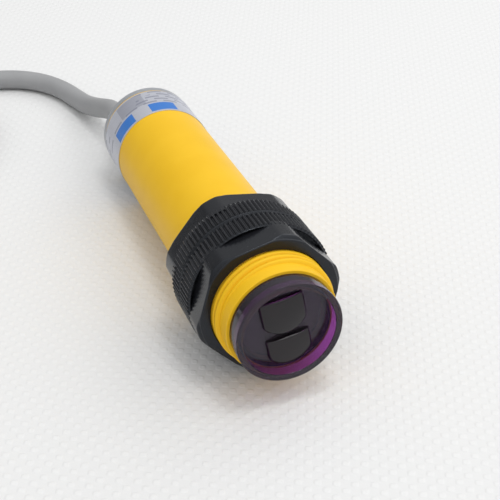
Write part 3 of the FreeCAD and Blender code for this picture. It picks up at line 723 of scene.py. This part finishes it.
class Recipe(Patch):
    """A Geometry Nodes tree with named sizes, run once to give a plain mesh."""

    def __init__(self, name: str, **sizes: float) -> None:
        """Starts a tree.

        Args:
            name: the tree's name.
            sizes: its inputs and their values. A whole number makes a count.
        """
        super().__init__(bpy.data.node_groups.new(name, "GeometryNodeTree"))
        self.sizes = sizes
        sockets = self.tree.interface
        for label, value in sizes.items():
            kind = "NodeSocketInt" if isinstance(value, int) else "NodeSocketFloat"
            sockets.new_socket(label, in_out="INPUT", socket_type=kind)
        sockets.new_socket("Geometry", in_out="OUTPUT", socket_type="NodeSocketGeometry")
        inputs = self.node("NodeGroupInput").outputs
        self.wires = [Wire(self, inputs[label]) for label in sizes]

    def point(self, x: object, y: object, z: object) -> NodeSocket:
        """A vector from three numbers or wires."""
        return self.node("ShaderNodeCombineXYZ", {0: x, 1: y, 2: z}).outputs[0]

    def moved(self, geometry: Node, **sockets: object) -> Node:
        """Geometry through a Set Position node, by its Position or Offset."""
        return self.node("GeometryNodeSetPosition", {"Geometry": geometry, **sockets})

    def run(self, geometry: Node, finish: Finish) -> BMesh:
        """Ends the tree, runs it and takes it away.

        Args:
            geometry: what the tree has made.
            finish: the finish that it sets.

        Returns:
            The plain mesh.
        """
        real = self.node("GeometryNodeRealizeInstances", {0: geometry})
        merged = self.node("GeometryNodeMergeByDistance", {"Geometry": real, "Distance": 1e-3})
        dressed = self.node("GeometryNodeSetMaterial", {"Geometry": merged, "Material": finish.build()})
        self.node("NodeGroupOutput", {0: dressed})
        carrier = link(self.tree.name, bpy.data.meshes.new(self.tree.name))
        modifier = carrier.modifiers.new(self.tree.name, "NODES")
        modifier.node_group = self.tree
        for item in self.tree.interface.items_tree:
            if item.item_type == "SOCKET" and item.in_out == "INPUT":
                modifier[item.identifier] = self.sizes[item.name]
        bpy.context.view_layer.update()
        evaluated = carrier.evaluated_get(bpy.context.evaluated_depsgraph_get())
        plain = bpy.data.meshes.new_from_object(evaluated)
        carrier.modifiers.remove(modifier)
        bpy.data.objects.remove(carrier)
        made = bmesh.new()
        made.from_mesh(plain)
        bpy.data.meshes.remove(plain)
        bmesh.ops.recalc_face_normals(made, faces=made.faces)
        return made


# ---- lens cap ----


@dataclass(frozen=True)
class Lens:
    """One lens dome seen from the front: a circle cut straight at its sides and along its top."""

    centre: float
    radius: float
    roof: float
    edge: float
    middle: float
    half_width: float = 3.33
    softness: float = 11

    def reach(self, angle: float) -> float:
        """How far the dome reaches from the circle's centre in one direction.

        Args:
            angle: the direction.

        Returns:
            The reach, with the corners between circle and cuts eased.
        """
        cuts = [self.radius, self.half_width / abs(cos(angle))]
        if sin(angle) > 0:
            cuts.append(self.roof / sin(angle))
        return eased_least(cuts, self.roof, self.softness)


@dataclass
class LensCap:
    """Dark filter cap: a cup with a raised rim, and two lens domes with straight sides."""

    radius: float = 7.95
    rim: float = 1.0
    length: float = 2.88
    recess: float = 1.9
    window_back: float = 3.4
    skirt_radius: float = 7.15
    skirt_wall: float = 0.9
    skirt_end: float = 5.1
    lenses: tuple[Lens, ...] = (Lens(3.15, 3.95, 1.95, 0.55, -0.95), Lens(-2.2, 4.0, 0.85, 0.5, -1.5))
    lens_span: float = 3.5
    lens_crown: float = 0.5
    lens_round: float = 0.38

    def cup(self) -> BMesh:
        """The cup as one closed skin.

        Returns:
            The mesh.
        """
        inner = self.radius - self.rim
        hollow = self.skirt_radius - self.skirt_wall
        corners = [
            (0, self.recess, 0), (inner, self.recess, 0.12), (inner, 0, 0.14),
            (self.radius, 0, 0.14), (self.radius, self.length, 0.06),
            (self.skirt_radius, self.length, 0.05),
            (self.skirt_radius, self.skirt_end, 0.1), (hollow, self.skirt_end, 0.1),
            (hollow, self.window_back, 0.1), (0, self.window_back, 0),
        ]
        return lathe(soften(corners, steps=5), 192)

    def dome(self, lens: Lens) -> BMesh:
        """One lens dome with a well rounded edge, closed at its foot inside the window.

        Args:
            lens: its outline and height.

        Returns:
            The mesh.
        """
        sphere = (self.lens_span**2 + self.lens_crown**2) / (2 * self.lens_crown)
        top = self.recess - lens.edge - self.lens_crown
        outline = [(a, lens.reach(a)) for a in round_turn(192)]

        def spot(angle: float, reach: float, drop: float) -> Triple:
            """A point of the crowned face, lowered by drop."""
            x, y, _ = polar(reach, angle, 0.0)
            return (x, lens.centre + y, top + sphere - sqrt(sphere**2 - x**2 - (y - lens.middle) ** 2) + drop)

        face = (0.0, 0.2, 0.4, 0.6, 0.8, 0.93, 0.99)
        rings = [[spot(a, (r - self.lens_round) * share, 0.0) for a, r in outline] for share in face]
        for k in range(9):
            bend = pi / 2 * k / 8
            inset, drop = self.lens_round * (1 - sin(bend)), self.lens_round * (1 - cos(bend))
            rings.append([spot(a, r - inset, drop) for a, r in outline])
        foot = self.recess + 0.15
        for depth in (self.recess - 0.02, foot):
            rings.append([(r * cos(a), lens.centre + r * sin(a), depth) for a, r in outline])
        rings.append([(0.0, lens.centre, foot)] * len(outline))
        return skin(rings)

    def build(self) -> list[Object]:
        """Builds the cup and the domes.

        Returns:
            The two pieces.
        """
        cup = settle("filter_cap", [self.cup()], Filter())
        domes = settle("lens_domes", [self.dome(lens) for lens in self.lenses], CHARCOAL, sharp=60)
        return [assign(cup, ["lens_cap"]), assign(domes)]


# ---- housing and label ----


@dataclass
class Housing:
    """The yellow tube: a plain collar, the threaded stretch and the smooth barrel."""

    front: float = 2.9
    collar_radius: float = 8.4
    thread_start: float = 4.5
    thread_end: float = 25.5
    thread_radius: float = 9.0
    thread_root: float = 8.42
    pitch: float = 1.0
    barrel_radius: float = 8.6
    barrel_end: float = 69.9
    bore: float = 7.2

    def tube(self) -> BMesh:
        """The tube under the thread.

        Returns:
            The mesh.
        """
        corners = [
            (self.bore, self.front, 0.1), (self.collar_radius, self.front, 0.14),
            (self.collar_radius, self.thread_start, 0.05),
            (self.thread_root, self.thread_start + 0.05, 0.05),
            (self.thread_root, self.thread_end - 0.2, 0.05),
            (self.barrel_radius, self.thread_end, 0.1),
            (self.barrel_radius, self.barrel_end, 0.12), (self.bore, self.barrel_end, 0.1),
        ]
        return lathe(soften(corners, closed=True), 192, closed=True)

    def thread(self) -> BMesh:
        """The ridge that winds round the tube, made by a tree of nodes.

        Returns:
            The mesh.
        """
        count = (self.thread_end - self.thread_start) / self.pitch - 1.0
        recipe = Recipe(
            "thread_ridge", Crest=self.thread_radius, Root=self.thread_root - SUNK, Pitch=self.pitch,
            Start=self.thread_start + self.pitch / 2, Turns=count, Steps=int(count * 96), Fade=0.35,
        )
        crest, root, pitch, start, turns, steps, fade = recipe.wires
        grid = recipe.node(
            "GeometryNodeMeshGrid", {"Size X": 1.0, "Size Y": 1.0, "Vertices X": 7, "Vertices Y": steps}
        )
        x, y, _ = recipe.parts(recipe.node("GeometryNodeInputPosition"))
        across = x + 0.5
        wound = (y + 0.5) * turns
        angle = wound * tau
        ease = (wound / fade).least((turns - wound) / fade).least(1.0).most(0.0)
        # the section is a closed loop: up the front flank, over the crest, down the rear flank and back
        rise = ((1.0 - abs(across * 2.0 - 1.0)) * 2.2).least(1.0)
        radius = root + (crest - root) * rise * ease
        along = start + wound * pitch + (across - 0.5) * pitch * (0.96 * ease + 0.04)
        place = recipe.point(radius * angle.cosine(), radius * angle.sine(), along)
        return recipe.run(recipe.moved(grid, Position=place), YELLOW)

    def build(self) -> list[Object]:
        """Builds the tube and its thread.

        Returns:
            The two pieces.
        """
        tube = settle("housing_tube", [self.tube()], YELLOW)
        ridge = settle("housing_thread", [self.thread()], YELLOW, sharp=50)
        return [assign(tube, ["housing_barrel"]), assign(ridge)]


@dataclass
class Label:
    """A foil label wrapped almost round the barrel's end."""

    inner: float = 8.62
    thickness: float = 0.1
    edge: float = 0.02
    low: float = 60.1
    high: float = 69.4
    start: float = 200.0
    wrap: float = 354.0
    steps: int = 180

    def build(self) -> list[Object]:
        """Builds the label with its own map for the print.

        Returns:
            The label.
        """
        outer = self.inner + self.thickness
        outline = [
            (self.inner, self.low), (outer - self.edge, self.low),
            (outer, self.low + self.edge), (outer, self.high - self.edge),
            (outer - self.edge, self.high), (self.inner, self.high),
        ]
        mesh = bmesh.new()
        layer = mesh.loops.layers.uv.new("wrap")
        rows = []
        for k in range(self.steps + 1):
            angle = radians(self.start + self.wrap * k / self.steps)
            rows.append([mesh.verts.new(polar(r, angle, z)) for r, z in outline])
        for k in range(self.steps):
            for i in range(len(outline)):
                j = (i + 1) % len(outline)
                corners = ((k, i), (k, j), (k + 1, j), (k + 1, i))
                face = mesh.faces.new([rows[row][spot] for row, spot in corners])
                for loop, (row, spot) in zip(face.loops, corners):
                    height = (outline[spot][1] - self.low) / (self.high - self.low)
                    loop[layer].uv = (row / self.steps, height)
        mesh.faces.new(rows[0])
        mesh.faces.new(rows[-1])
        bmesh.ops.recalc_face_normals(mesh, faces=mesh.faces)
        return [assign(settle("label_wrap", [mesh], Foil()), ["label_sleeve"])]


# ---- nuts ----


class Facing(Enum):
    """Which way a nut's hexagon looks: its node, its place along the axis, its flip and its turn."""

    FRONT = ("front_nut", 15.2, True, 43.9)
    REAR = ("rear_nut", 15.3, False, 39.0)

    def matrix(self) -> Matrix:
        """The turn and shift from the nut's own millimetres to the frame's metres.

        Returns:
            The matrix.
        """
        _, base, flipped, turn = self.value
        flip = Matrix.Rotation(pi, 4, "X") if flipped else Matrix.Identity(4)
        turned = Matrix.Rotation(radians(turn), 4, "Z")
        return LAY.matrix(False) @ Matrix.Translation((0, 0, base)) @ flip @ turned


@dataclass
class Nut:
    """Black hex nut with a knurled flange. Its Z axis points from the flange to the hexagon's face."""

    facing: Facing
    length: float = 7.7
    flange: float = 3.9
    flange_radius: float = 11.3
    rim_width: float = 0.2
    knurl_depth: float = 0.31
    knurl_count: int = 96
    flats: float = 20.54
    corner_radius: float = 11.2
    face_radius: float = 10.3
    brim: float = 0.24
    bore: float = 9.05
    mouth: float = 9.16
    pocket: float = 0.9
    pocket_radius: float = 10.76
    softness: float = 13

    def side(self, angle: float, height: float) -> float:
        """The hexagon's reach in one direction at one height, with softened edges.

        Args:
            angle: the direction.
            height: the height over the flange's face.

        Returns:
            The reach.
        """
        turned = (angle + pi / 6) % (pi / 3) - pi / 6
        half = self.flats / 2
        reaches = (
            half / cos(turned),
            self.corner_radius,
            self.face_radius + (self.length - height) / tan(radians(30)),
        )
        return eased_least(reaches, half, self.softness)

    def body(self) -> BMesh:
        """Hexagon, flange core and bore as one closed skin.

        Returns:
            The mesh.
        """
        columns = round_turn(576)
        core = self.flange_radius - self.knurl_depth
        rim = self.flange_radius - 0.05
        floor = self.flange - self.pocket
        low = self.length - self.brim
        rings: Rings = []

        def add(reach: Callable[[float], float], height: float) -> None:
            """Adds a ring whose reach depends on the direction."""
            rings.append([polar(reach(a), a, height) for a in columns])

        def wall(angle: float) -> float:
            """The pocket's outer wall, which closes on the hexagon near its corners."""
            return max(self.pocket_radius, self.side(angle, self.flange) + 0.002)

        for height in (floor, floor + 0.03, self.flange, 4.6, 5.4, 6.2, 6.7, 6.9, 7.05, 7.18, 7.3, 7.4):
            add(lambda a, h=height: self.side(a, h), height)
        for k in range(6):
            bend = pi / 2 * k / 5
            inset = self.brim * (1 - cos(bend))
            add(lambda a, i=inset: self.side(a, low) - i, low + self.brim * sin(bend))
        add(lambda a: self.side(a, low) - self.brim - 0.02, self.length)
        corners = [
            (self.mouth + 0.4, self.length, 0.0), (self.mouth, self.length, 0.08),
            (self.bore, self.length - 0.12, 0.05), (self.bore, 0.12, 0.05),
            (self.mouth, 0.0, 0.08), (rim - 0.12, 0.0, 0.05), (rim, 0.12, 0.06),
            (rim, self.rim_width, 0.08), (core, self.rim_width + 0.12, 0.05),
            (core, self.flange - 0.14, 0.05), (core - 0.08, self.flange, 0.0),
        ]
        for reach, height in soften(corners)[1:]:
            add(lambda a, r=reach: r, height)
        add(lambda a: max(self.pocket_radius + 0.04, wall(a)), self.flange)
        for shrink, height in ((0.0, self.flange - 0.04), (0.0, floor + 0.03), (0.001, floor)):
            add(lambda a, s=shrink: wall(a) - s, height)
        return skin(rings, closed=True)

    def knurl(self) -> BMesh:
        """The flange's ribs, made by a tree of nodes.

        Returns:
            The mesh.
        """
        base = self.flange_radius - self.knurl_depth
        recipe = Recipe(
            f"{self.facing.value[0]}_knurl", Count=self.knurl_count, Root=base - SUNK,
            Height=self.knurl_depth + SUNK, Width=tau * base / self.knurl_count * 0.98,
            Length=self.flange - self.rim_width - 0.04, Middle=(self.flange + self.rim_width - 0.04) / 2,
        )
        count, root, height, width, length, middle = recipe.wires
        block = recipe.node(
            "GeometryNodeMeshCube",
            {"Size": (1.0, 1.0, 1.0), "Vertices X": 2, "Vertices Y": 5, "Vertices Z": 2},
        )
        x, y, z = recipe.parts(recipe.node("GeometryNodeInputPosition"))
        lift = x + 0.5
        inwards = abs(y) * 2.0
        bow = 1.0 - lift * inwards * inwards * 0.5
        narrow = 1.0 - lift * 0.42
        place = recipe.point(lift * height * bow, y * width * narrow, z * (length - lift * 0.3))
        rib = recipe.moved(block, Position=place)
        ring = recipe.node("GeometryNodeMeshCircle", {"Vertices": count, "Radius": root})
        raised = recipe.moved(ring, Offset=recipe.point(0.0, 0.0, middle))
        turn = recipe.wire("GeometryNodeInputIndex") * tau / count
        spread = recipe.node(
            "GeometryNodeInstanceOnPoints",
            {"Points": raised, "Instance": rib, "Rotation": recipe.point(0.0, 0.0, turn)},
        )
        return recipe.run(spread, NYLON)

    def build(self) -> list[Object]:
        """Builds the nut as one piece on its own body.

        Returns:
            The nut, alone in a list.
        """
        node = self.facing.value[0]
        nut = settle(f"{node}_body", [self.body(), self.knurl()], NYLON, self.facing.matrix(), 50)
        return [assign(nut, [node], node)]


# ---- rear end ----


@dataclass
class StrainRelief:
    """Rubber sleeve through the rear cap: a barb inside, a collar and a ribbed taper."""

    offset: float = 3.4
    bore: float = 2.03
    neck: float = 2.55
    barb: float = 2.85
    inside: float = 68.7
    plate_start: float = 69.9
    plate_end: float = 71.5
    collar_radius: float = 3.3
    collar_end: float = 72.5
    tip: float = 79.5
    tip_radius: float = 2.45
    ribs: int = 4
    groove: float = 0.25
    groove_width: float = 0.6

    def build(self) -> list[Object]:
        """Builds the sleeve.

        Returns:
            The sleeve.
        """
        step = (self.tip - self.collar_end) / self.ribs
        thick = self.collar_radius - 0.35
        taper = (thick - self.tip_radius) / self.ribs
        corners = [
            (self.bore, self.inside, 0.05), (self.neck, self.inside, 0.1),
            (self.barb, self.plate_start - 0.05, 0.08),
            (self.neck, self.plate_start - 0.05, 0.03), (self.neck, self.plate_end, 0.03),
            (self.collar_radius, self.plate_end, 0.12),
            (self.collar_radius, self.collar_end, 0.22),
        ]
        for rib in range(self.ribs):
            start = self.collar_end + rib * step
            rise = start + self.groove_width
            crest = thick - rib * taper
            root = crest - self.groove
            corners += [(root, start, 0.08), (root, rise, 0.08), (crest, rise, 0.16)]
            if rib < self.ribs - 1:
                corners.append((crest - taper, start + step, 0.12))
        corners += [(self.tip_radius, self.tip, 0.16), (self.bore, self.tip, 0.06)]
        sleeve = settle(
            "relief_sleeve",
            [lathe(soften(corners, closed=True, steps=3), 72, closed=True)],
            RUBBER,
            AXIS_FRAME @ Matrix.Translation((self.offset, 0, 0)),
        )
        return [assign(sleeve, ["strain_relief"])]


# ---- cable ----


@dataclass
class Cable:
    """The round cable from the rear cap to the connector, coiled beside the sensor."""

    diameter: float = 4.0
    length: float = 403.0
    tip: float = 79.5
    offset: float = 3.4
    straight: float = 4.5
    coil_centre: tuple[float, float] = (-49.6, 56.8)
    per_turn: int = 16
    turns: float = 2.25
    outer: float = 21.7
    inner: float = 17.9
    fan: float = 3.7
    low: float = 2.1
    lift: float = 4.0
    climb_start: float = 0.94
    climb_turns: float = 0.25
    first: tuple[Triple, ...] = (
        (-4.3, 48.6, 6.0), (-5.2, 53.2, 4.2), (-6.2, 58.2, 2.7), (-7.3, 63.2, 2.1),
        (-9.0, 68.2, 2.1), (-12.0, 72.9, 2.1), (-16.3, 76.4, 2.1), (-21.6, 78.3, 2.1),
        (-27.7, 78.9, 2.1), (-34.4, 78.95, 2.1), (-41.8, 78.9, 2.1),
    )
    last: tuple[Triple, ...] = (
        (-71.7, 51.3, 5.4), (-71.3, 45.5, 3.8), (-70.3, 39.7, 2.5), (-68.9, 33.9, 2.1),
        (-67.8, 28.2, 2.1), (-67.2, 22.5, 2.1), (-67.0, 16.9, 2.1), (-67.4, 11.2, 2.1),
    )

    def coil(self) -> list[Triple]:
        """The coil's turns: inwards on the floor, then outwards on top of them.

        Returns:
            The points, in millimetres.
        """
        widen = 1 / (0.75 + 0.25 * cos(tau / self.per_turn))
        points = []
        for k in range(round(self.turns * self.per_turn) + 1):
            wound = k / self.per_turn
            radius = self.outer - (self.outer - self.inner) * wound
            if wound > 1:
                radius = self.inner + self.fan * (wound - 1) / (self.turns - 1)
            climb = min(max((wound - self.climb_start) / self.climb_turns, 0), 1)
            angle = pi / 2 + tau * wound
            x = self.coil_centre[0] + radius * widen * cos(angle)
            y = self.coil_centre[1] + radius * widen * sin(angle)
            points.append((x, y, self.low + self.lift * climb))
        return points

    def route(self) -> list[Triple]:
        """Every control point of the cable's line.

        Returns:
            The points, in millimetres in the frame.
        """
        shift = Matrix.Scale(1 / MM, 4) @ AXIS_FRAME
        leaving = [tuple(shift @ Vector((self.offset, 0, self.tip + far))) for far in (0.0, self.straight)]
        return [*leaving, *self.first, *self.coil(), *self.last]

    def line(self, name: str, points: Sequence[Triple], radius: float, finish: Finish) -> Object:
        """A round smooth line through the frame.

        Args:
            name: the piece's name.
            points: its control points, in millimetres.
            radius: its radius, in millimetres.
            finish: what it is made of.

        Returns:
            The curve object.
        """
        curve = bpy.data.curves.new(name, "CURVE")
        curve.dimensions = "3D"
        curve.bevel_depth = radius * MM
        curve.bevel_resolution = 6
        curve.use_fill_caps = True
        spline = curve.splines.new("NURBS")
        spline.points.add(len(points) - 1)
        for spot, point in zip(spline.points, points):
            spot.co = (*(Vector(point) * MM), 1.0)
        spline.order_u = 3
        spline.use_endpoint_u = True
        spline.resolution_u = 10
        curve.materials.append(finish.build())
        return link(name, curve)

    def build(self, with_pieces: Sequence[Object]) -> list[Object]:
        """Args:
            with_pieces: the leads and the connector on its far end. It is not used.

        Returns:
            The cable.
        """
        points = self.route()
        cable = self.line("cable_line", points, self.diameter / 2, JACKET)
        assign(cable, ["cable_jacket", "cable_coil", "cable_tail"])
        return [cable]


@dataclass
class Leads:
    """The three cores from the cable's end into the connector."""

    radius: float = 0.55
    ring: float = 0.95
    hidden: float = 1.5
    leave: float = 5.0
    straight: float = 6.0
    sag: float = 0.4
    first_angle: float = 210.0
    plug_back: tuple[float, float] = (-69.4, -14.0)
    plug_turn: float = 8.0
    pitch: float = 2.54
    inset: float = 2.4

    def build(self, cable: Cable) -> list[Object]:
        """Builds the leads.

        Args:
            cable: gives its end and the smooth line.

        Returns:
            The three leads.
        """
        before, end = (Vector(point) for point in cable.last[-2:])
        along = (end - before).normalized()
        up = Vector((0, 0, 1))
        across = up.cross(along).normalized()
        turn = Matrix.Rotation(radians(self.plug_turn), 3, "Z")
        base = Vector((*self.plug_back, self.pitch / 2))
        leads = []
        for number, core in enumerate(Core):
            angle = radians(self.first_angle - 360 / len(Core) * number)
            start = end + across * (self.ring * cos(angle)) + up * (self.ring * sin(angle))
            leaving = start + along * self.leave
            back = base + turn @ Vector(((number - 1) * self.pitch, -self.inset, 0))
            mouth = back + turn @ Vector((0, self.straight, 0))
            middle = leaving.lerp(mouth, 0.5)
            middle.z = max(self.radius + 0.05, middle.z - self.sag)
            name = core.name.lower()
            route = [tuple(p) for p in (start - along * self.hidden, start, leaving, middle, mouth, back)]
            lead = cable.line(f"core_lead_{name}", route, self.radius, core.finish())
            leads.append(assign(lead, [f"lead_{name}"]))
        return leads


# ---- carried-over pieces ----


def dress_nodes() -> None:
    """Gives each CAD node that stays its own finish."""
    for name, finish in NODE_FINISHES.items():
        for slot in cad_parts[name].material_slots:
            slot.material = finish.build()
        LOG.info("dressed %s with %s", name, finish.name)


# ---- studio ----


@dataclass
class Studio:
    """The floor, the lights and the camera."""

    camera_place: Triple = (-47.04, -149.41, 106.82)
    heading: float = 20.5
    downward: float = 34.04
    lens: float = 79.2
    span: float = 3.0
    horizon: float = 0.34
    zenith: float = 1.14
    front: float = 1.4
    rear: float = 0.6
    right: float = 0.28
    aim: Triple = (0.0, -0.01, 0.01)
    lamps: tuple[tuple[str, Triple, float, float], ...] = (
        ("overhead", (0.04, -0.06, 0.42), 0.12, 0.36),
        ("window", (0.33, 0.20, 0.29), 0.30, 0.30),
    )

    def floor(self) -> None:
        """Lays the pale floor."""
        mesh = bpy.data.meshes.new("floor")
        corners = [(x * self.span, y * self.span, 0) for x, y in ((-1, -1), (1, -1), (1, 1), (-1, 1))]
        mesh.from_pydata(corners, [], [(0, 1, 2, 3)])
        mesh.materials.append(Tabletop().build())
        link("floor", mesh)

    def world(self) -> None:
        """A pale surround: brightest overhead, in front of the sensor and to its right."""
        world = bpy.data.worlds.new("surround")
        bpy.context.scene.world = world
        world.use_nodes = True
        patch = Patch(world.node_tree)
        across, depth, height = patch.parts(patch.node("ShaderNodeTexCoord").outputs["Generated"])
        strength = height.ramp(-0.1, 0.95, self.horizon, self.zenith)
        middle = (self.rear + self.front) / 2
        strength = strength * (depth * (self.rear - middle) + across * self.right + middle)
        glow = patch.node("ShaderNodeBackground", {"Color": (1.0, 1.0, 1.0), "Strength": strength})
        patch.node("ShaderNodeOutputWorld", {"Surface": glow})

    def light(self) -> None:
        """Hangs the square soft lamps by their names, places, sides in metres and powers in watts."""
        for name, place, size, power in self.lamps:
            light = bpy.data.lights.new(name, "AREA")
            light.size = size
            light.energy = power
            lamp = link(name, light)
            lamp.location = place
            lamp.rotation_euler = (Vector(self.aim) - Vector(place)).to_track_quat("-Z", "Y").to_euler()

    def camera(self) -> None:
        """Sets the photograph's viewpoint."""
        lens = bpy.data.cameras.new("viewpoint")
        lens.lens = self.lens
        lens.sensor_width = 36.0
        lens.clip_start = 0.005
        camera = link("viewpoint", lens)
        camera.location = Vector(self.camera_place) * MM
        pitch = radians(90.0 - self.downward)
        camera.rotation_euler = (pitch, 0.0, -radians(self.heading))
        bpy.context.scene.camera = camera

    def build(self) -> None:
        """Sets the whole studio up."""
        bpy.context.scene.view_settings.view_transform = "Standard"
        self.floor()
        self.world()
        self.light()
        self.camera()


# ---- all together ----


def main() -> None:
    """Builds the sensor piece by piece, then the studio."""
    logging.basicConfig(level=logging.INFO, format="%(message)s")
    cable = Cable()
    leads = Leads().build(cable)
    far_end = leads + [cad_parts[n] for n in ("connector_housing", "connector_contacts")]
    made = leads + cable.build(far_end)
    for assembly in (LensCap(), Housing(), Label(), Nut(Facing.FRONT), Nut(Facing.REAR), StrainRelief()):
        made += assembly.build()
    dress_nodes()
    Studio().build()
    for piece in made:
        LOG.info("built %s", piece.name)


if __name__ == "__main__":
    main()
